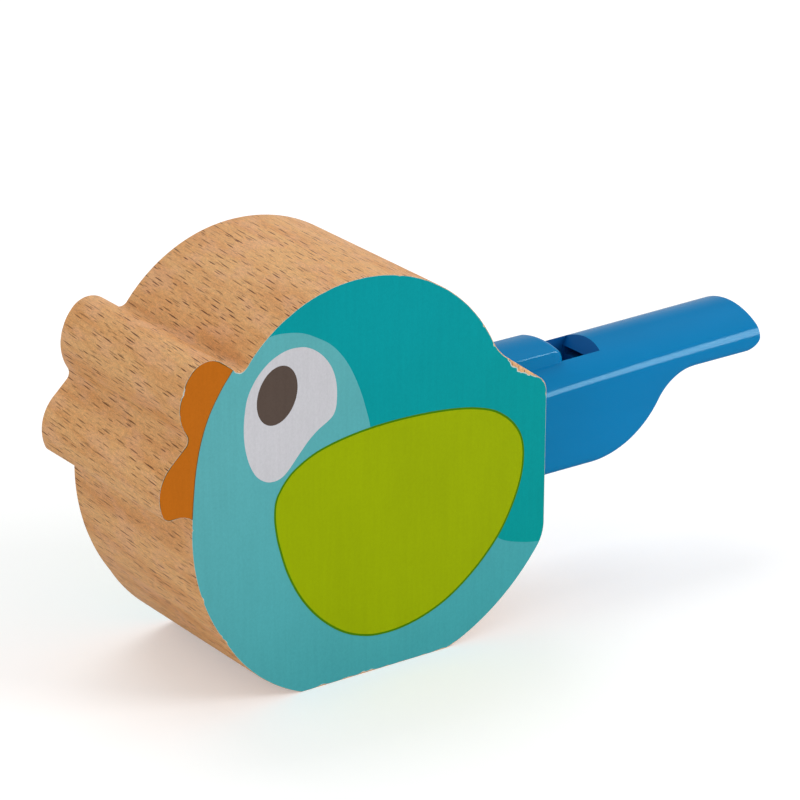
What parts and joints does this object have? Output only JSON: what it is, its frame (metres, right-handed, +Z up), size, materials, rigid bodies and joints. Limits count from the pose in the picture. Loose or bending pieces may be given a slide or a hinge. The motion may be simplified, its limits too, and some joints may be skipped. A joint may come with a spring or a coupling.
{
  "type": "bird call",
  "caption": "Wooden bird with a sliding plastic whistle for a tail; a fixed piston inside changes the note as the whistle slides.",
  "frame": {"origin": "on the flat belly that the bird stands on, midway through the block's thickness and midway between the beak's tip and the tail", "axes": "+X from the beak to the mouth end, along the whistle; +Y through the block's thickness; +Z up"},
  "size_m": [0.1175, 0.032, 0.0626],
  "materials": {
    "beech": "bare sanded beech, printed with flat colours on both faces",
    "blue_plastic": "glossy moulded",
    "white_plastic": "natural moulded",
    "seal_rubber": "greased",
    "steel": "turned and zinc plated"
  },
  "bodies": {
    "bird": {"wood_body": "beech", "bore_sleeve": "white_plastic", "piston_rod": "steel", "piston_head": "white_plastic", "piston_ring": "seal_rubber", "piston_screw": "steel"},
    "whistle": {"slide_tube": "blue_plastic", "guide_bush": "white_plastic", "whistle_shell": "blue_plastic", "windway_block": "blue_plastic", "voicing_cap": "blue_plastic"}
  },
  "joints": [
    {"name": "whistle_slide", "type": "slide", "parent": "bird", "child": "whistle", "axis": [1, 0, 0], "range_m": [0, 0.02]}
  ]
}
